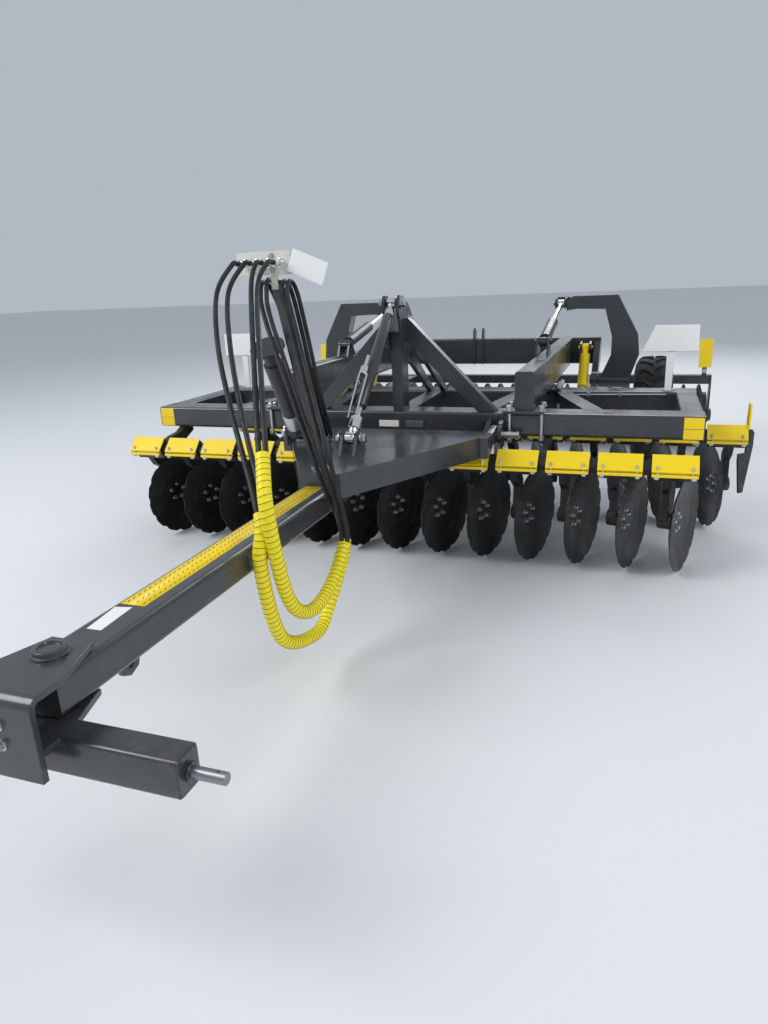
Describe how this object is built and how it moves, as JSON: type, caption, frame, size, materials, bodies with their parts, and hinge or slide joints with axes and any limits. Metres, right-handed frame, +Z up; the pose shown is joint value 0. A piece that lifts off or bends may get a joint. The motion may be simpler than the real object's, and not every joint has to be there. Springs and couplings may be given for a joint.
{
  "type": "trailed compact disc harrow",
  "caption": "Trailed compact disc harrow with two rows of notched discs on sprung arms, a hinged drawbar, a ringed rear roller and transport wheels.",
  "frame": {"origin": "middle of the footprint on the floor", "axes": "+Z up, +Y to the rear, -Y to the hitch, +X to the right of travel"},
  "size_m": [3.734, 6.136, 1.631],
  "materials": {
    "frame_paint": "semi-gloss",
    "dark_casting": "painted, satin",
    "dark_paint": "satin",
    "yellow_paint": "gloss",
    "disc_steel": "semi-gloss",
    "roller_steel": "satin",
    "zinc": "zinc plated",
    "chrome": "polished",
    "hose_rubber": "matt",
    "tyre": "matt",
    "cream_paint": "satin",
    "white_board": "satin",
    "rim_paint": "semi-gloss"
  },
  "bodies": {
    "frame": {"main_frame": "frame_paint", "upper_frame": "frame_paint", "mast": "frame_paint", "carriers": "dark_casting", "shields": "yellow_paint", "arms": "dark_casting", "marker_boards": "white_board"},
    "drawbar": {"drawbar": "frame_paint", "drawbar_pins": "zinc", "hose_holder": "cream_paint", "parking_stand": "dark_paint", "hose_1": "hose_rubber", "hose_2": "hose_rubber", "hose_3": "hose_rubber", "hose_4": "hose_rubber"},
    "hitch": {"hitch_head": "frame_paint"},
    "turnbuckle_body": {"turnbuckle_body": "zinc"},
    "turnbuckle_screw": {"turnbuckle_screw": "zinc"},
    "roller_frame": {"roller_frame": "frame_paint"},
    "roller": {"roller": "roller_steel"},
    "left_roller_barrel": {"left_roller_barrel": "yellow_paint"},
    "left_roller_rod": {"left_roller_rod": "chrome"},
    "left_wheel_arm": {"left_wheel_arm": "frame_paint"},
    "left_wheel": {"left_wheel": "rim_paint", "left_tyre": "tyre"},
    "left_lift_barrel": {"left_lift_barrel": "dark_paint"},
    "left_lift_rod": {"left_lift_rod": "chrome"},
    "right_roller_barrel": {"right_roller_barrel": "yellow_paint"},
    "right_roller_rod": {"right_roller_rod": "chrome"},
    "right_wheel_arm": {"right_wheel_arm": "frame_paint"},
    "right_wheel": {"right_wheel": "rim_paint", "right_tyre": "tyre"},
    "right_lift_barrel": {"right_lift_barrel": "dark_paint"},
    "right_lift_rod": {"right_lift_rod": "chrome"},
    "front_disc_1": {"front_disc_1": "disc_steel"},
    "front_disc_2": {"front_disc_2": "disc_steel"},
    "front_disc_3": {"front_disc_3": "disc_steel"},
    "front_disc_4": {"front_disc_4": "disc_steel"},
    "front_disc_5": {"front_disc_5": "disc_steel"},
    "front_disc_6": {"front_disc_6": "disc_steel"},
    "front_disc_7": {"front_disc_7": "disc_steel"},
    "front_disc_8": {"front_disc_8": "disc_steel"},
    "front_disc_9": {"front_disc_9": "disc_steel"},
    "front_disc_10": {"front_disc_10": "disc_steel"},
    "front_disc_11": {"front_disc_11": "disc_steel"},
    "front_disc_12": {"front_disc_12": "disc_steel"},
    "front_disc_13": {"front_disc_13": "disc_steel"},
    "rear_disc_1": {"rear_disc_1": "disc_steel"},
    "rear_disc_2": {"rear_disc_2": "disc_steel"},
    "rear_disc_3": {"rear_disc_3": "disc_steel"},
    "rear_disc_4": {"rear_disc_4": "disc_steel"},
    "rear_disc_5": {"rear_disc_5": "disc_steel"},
    "rear_disc_6": {"rear_disc_6": "disc_steel"},
    "rear_disc_7": {"rear_disc_7": "disc_steel"},
    "rear_disc_8": {"rear_disc_8": "disc_steel"},
    "rear_disc_9": {"rear_disc_9": "disc_steel"},
    "rear_disc_10": {"rear_disc_10": "disc_steel"},
    "rear_disc_11": {"rear_disc_11": "disc_steel"},
    "rear_disc_12": {"rear_disc_12": "disc_steel"},
    "rear_disc_13": {"rear_disc_13": "disc_steel"}
  },
  "joints": [
    {"name": "drawbar_pitch", "type": "hinge", "parent": "frame", "child": "drawbar", "pos_m": [-0.013, -0.33, 0.702], "axis": [1, 0, 0], "range_deg": [-5, 5]},
    {"name": "roller_lift", "type": "hinge", "parent": "frame", "child": "roller_frame", "pos_m": [-0.013, 0.76, 0.742], "axis": [1, 0, 0], "range_deg": [-3, 3]},
    {"name": "left_wheel_lift", "type": "hinge", "parent": "frame", "child": "left_wheel_arm", "pos_m": [-0.963, 1.628, 0.722], "axis": [-1, 0, 0], "range_deg": [0, 26]},
    {"name": "right_wheel_lift", "type": "hinge", "parent": "frame", "child": "right_wheel_arm", "pos_m": [0.937, 1.628, 0.722], "axis": [-1, 0, 0], "range_deg": [0, 26]},
    {"name": "hitch_swivel", "type": "hinge", "parent": "drawbar", "child": "hitch", "pos_m": [-0.013, -2.882, 0.6], "axis": [0, 0, 1], "range_deg": [-25, 25]},
    {"name": "roller_spin", "type": "hinge", "parent": "roller_frame", "child": "roller", "pos_m": [-0.013, 2.808, 0.26], "axis": [1, 0, 0], "continuous": true},
    {"name": "left_wheel_spin", "type": "hinge", "parent": "left_wheel_arm", "child": "left_wheel", "pos_m": [-1.363, 2.118, 0.42], "axis": [1, 0, 0], "continuous": true},
    {"name": "right_wheel_spin", "type": "hinge", "parent": "right_wheel_arm", "child": "right_wheel", "pos_m": [1.337, 2.118, 0.42], "axis": [1, 0, 0], "continuous": true},
    {"name": "turnbuckle_swing", "type": "hinge", "parent": "drawbar", "child": "turnbuckle_body", "pos_m": [-0.013, -0.972, 0.8], "axis": [1, 0, 0], "range_deg": [-2.67, 2.67]},
    {"name": "turnbuckle_reach", "type": "slide", "parent": "turnbuckle_body", "child": "turnbuckle_screw", "axis": [0, 0.7585, 0.6517], "range_m": [-0.0435, 0.0435]},
    {"name": "left_roller_cylinder_swing", "type": "hinge", "parent": "frame", "child": "left_roller_barrel", "pos_m": [-0.858, 1.773, 0.945], "axis": [1, 0, 0], "range_deg": [-1.81, 1.81]},
    {"name": "left_roller_cylinder_stroke", "type": "slide", "parent": "left_roller_barrel", "child": "left_roller_rod", "axis": [0, -0.5742, -0.8187], "range_m": [-0.0377, 0.0377]},
    {"name": "right_roller_cylinder_swing", "type": "hinge", "parent": "frame", "child": "right_roller_barrel", "pos_m": [0.832, 1.773, 0.945], "axis": [1, 0, 0], "range_deg": [-1.81, 1.81]},
    {"name": "right_roller_cylinder_stroke", "type": "slide", "parent": "right_roller_barrel", "child": "right_roller_rod", "axis": [0, -0.5742, -0.8187], "range_m": [-0.0377, 0.0377]},
    {"name": "left_lift_cylinder_swing", "type": "hinge", "parent": "frame", "child": "left_lift_barrel", "pos_m": [-0.681, 0.648, 1.086], "axis": [1, 0, 0], "range_deg": [-4.31, 0]},
    {"name": "left_lift_cylinder_stroke", "type": "slide", "parent": "left_lift_barrel", "child": "left_lift_rod", "axis": [0, 0.9814, 0.1922], "range_m": [0, 0.2371]},
    {"name": "right_lift_cylinder_swing", "type": "hinge", "parent": "frame", "child": "right_lift_barrel", "pos_m": [0.655, 0.648, 1.086], "axis": [1, 0, 0], "range_deg": [-4.31, 0]},
    {"name": "right_lift_cylinder_stroke", "type": "slide", "parent": "right_lift_barrel", "child": "right_lift_rod", "axis": [0, 0.9814, 0.1922], "range_m": [0, 0.2371]},
    {"name": "front_disc_1_spin", "type": "hinge", "parent": "frame", "child": "front_disc_1", "pos_m": [-1.548, -0.252, 0.255], "axis": [0.9563, -0.2924, 0], "continuous": true},
    {"name": "front_disc_2_spin", "type": "hinge", "parent": "frame", "child": "front_disc_2", "pos_m": [-1.298, -0.252, 0.255], "axis": [0.9563, -0.2924, 0], "continuous": true},
    {"name": "front_disc_3_spin", "type": "hinge", "parent": "frame", "child": "front_disc_3", "pos_m": [-1.048, -0.252, 0.255], "axis": [0.9563, -0.2924, 0], "continuous": true},
    {"name": "front_disc_4_spin", "type": "hinge", "parent": "frame", "child": "front_disc_4", "pos_m": [-0.798, -0.252, 0.255], "axis": [0.9563, -0.2924, 0], "continuous": true},
    {"name": "front_disc_5_spin", "type": "hinge", "parent": "frame", "child": "front_disc_5", "pos_m": [-0.548, -0.252, 0.255], "axis": [0.9563, -0.2924, 0], "continuous": true},
    {"name": "front_disc_6_spin", "type": "hinge", "parent": "frame", "child": "front_disc_6", "pos_m": [-0.298, -0.252, 0.255], "axis": [0.9563, -0.2924, 0], "continuous": true},
    {"name": "front_disc_7_spin", "type": "hinge", "parent": "frame", "child": "front_disc_7", "pos_m": [-0.048, -0.252, 0.255], "axis": [0.9563, -0.2924, 0], "continuous": true},
    {"name": "front_disc_8_spin", "type": "hinge", "parent": "frame", "child": "front_disc_8", "pos_m": [0.202, -0.252, 0.255], "axis": [0.9563, -0.2924, 0], "continuous": true},
    {"name": "front_disc_9_spin", "type": "hinge", "parent": "frame", "child": "front_disc_9", "pos_m": [0.452, -0.252, 0.255], "axis": [0.9563, -0.2924, 0], "continuous": true},
    {"name": "front_disc_10_spin", "type": "hinge", "parent": "frame", "child": "front_disc_10", "pos_m": [0.702, -0.252, 0.255], "axis": [0.9563, -0.2924, 0], "continuous": true},
    {"name": "front_disc_11_spin", "type": "hinge", "parent": "frame", "child": "front_disc_11", "pos_m": [0.952, -0.252, 0.255], "axis": [0.9563, -0.2924, 0], "continuous": true},
    {"name": "front_disc_12_spin", "type": "hinge", "parent": "frame", "child": "front_disc_12", "pos_m": [1.202, -0.252, 0.255], "axis": [0.9563, -0.2924, 0], "continuous": true},
    {"name": "front_disc_13_spin", "type": "hinge", "parent": "frame", "child": "front_disc_13", "pos_m": [1.452, -0.252, 0.255], "axis": [0.9563, -0.2924, 0], "continuous": true},
    {"name": "rear_disc_1_spin", "type": "hinge", "parent": "frame", "child": "rear_disc_1", "pos_m": [-1.303, 0.533, 0.255], "axis": [-0.9563, -0.2924, 0], "continuous": true},
    {"name": "rear_disc_2_spin", "type": "hinge", "parent": "frame", "child": "rear_disc_2", "pos_m": [-1.053, 0.533, 0.255], "axis": [-0.9563, -0.2924, 0], "continuous": true},
    {"name": "rear_disc_3_spin", "type": "hinge", "parent": "frame", "child": "rear_disc_3", "pos_m": [-0.803, 0.533, 0.255], "axis": [-0.9563, -0.2924, 0], "continuous": true},
    {"name": "rear_disc_4_spin", "type": "hinge", "parent": "frame", "child": "rear_disc_4", "pos_m": [-0.553, 0.533, 0.255], "axis": [-0.9563, -0.2924, 0], "continuous": true},
    {"name": "rear_disc_5_spin", "type": "hinge", "parent": "frame", "child": "rear_disc_5", "pos_m": [-0.303, 0.533, 0.255], "axis": [-0.9563, -0.2924, 0], "continuous": true},
    {"name": "rear_disc_6_spin", "type": "hinge", "parent": "frame", "child": "rear_disc_6", "pos_m": [-0.053, 0.533, 0.255], "axis": [-0.9563, -0.2924, 0], "continuous": true},
    {"name": "rear_disc_7_spin", "type": "hinge", "parent": "frame", "child": "rear_disc_7", "pos_m": [0.197, 0.533, 0.255], "axis": [-0.9563, -0.2924, 0], "continuous": true},
    {"name": "rear_disc_8_spin", "type": "hinge", "parent": "frame", "child": "rear_disc_8", "pos_m": [0.447, 0.533, 0.255], "axis": [-0.9563, -0.2924, 0], "continuous": true},
    {"name": "rear_disc_9_spin", "type": "hinge", "parent": "frame", "child": "rear_disc_9", "pos_m": [0.697, 0.533, 0.255], "axis": [-0.9563, -0.2924, 0], "continuous": true},
    {"name": "rear_disc_10_spin", "type": "hinge", "parent": "frame", "child": "rear_disc_10", "pos_m": [0.947, 0.533, 0.255], "axis": [-0.9563, -0.2924, 0], "continuous": true},
    {"name": "rear_disc_11_spin", "type": "hinge", "parent": "frame", "child": "rear_disc_11", "pos_m": [1.197, 0.533, 0.255], "axis": [-0.9563, -0.2924, 0], "continuous": true},
    {"name": "rear_disc_12_spin", "type": "hinge", "parent": "frame", "child": "rear_disc_12", "pos_m": [1.447, 0.533, 0.255], "axis": [-0.9563, -0.2924, 0], "continuous": true},
    {"name": "rear_disc_13_spin", "type": "hinge", "parent": "frame", "child": "rear_disc_13", "pos_m": [1.697, 0.533, 0.255], "axis": [-0.9563, -0.2924, 0], "continuous": true}
  ],
  "couplings": [
    {"joint": "turnbuckle_swing", "follows": "drawbar_pitch", "ratio": -0.52459},
    {"joint": "turnbuckle_reach", "follows": "drawbar_pitch", "m_per_rad": 0.49259},
    {"joint": "left_roller_cylinder_swing", "follows": "roller_lift", "ratio": -0.58821},
    {"joint": "left_roller_cylinder_stroke", "follows": "roller_lift", "m_per_rad": -0.71103},
    {"joint": "right_roller_cylinder_swing", "follows": "roller_lift", "ratio": -0.58821},
    {"joint": "right_roller_cylinder_stroke", "follows": "roller_lift", "m_per_rad": -0.71103},
    {"joint": "left_lift_cylinder_swing", "follows": "left_wheel_lift", "ratio": -0.16398},
    {"joint": "left_lift_cylinder_stroke", "follows": "left_wheel_lift", "m_per_rad": 0.52148},
    {"joint": "right_lift_cylinder_swing", "follows": "right_wheel_lift", "ratio": -0.16398},
    {"joint": "right_lift_cylinder_stroke", "follows": "right_wheel_lift", "m_per_rad": 0.52148}
  ]
}
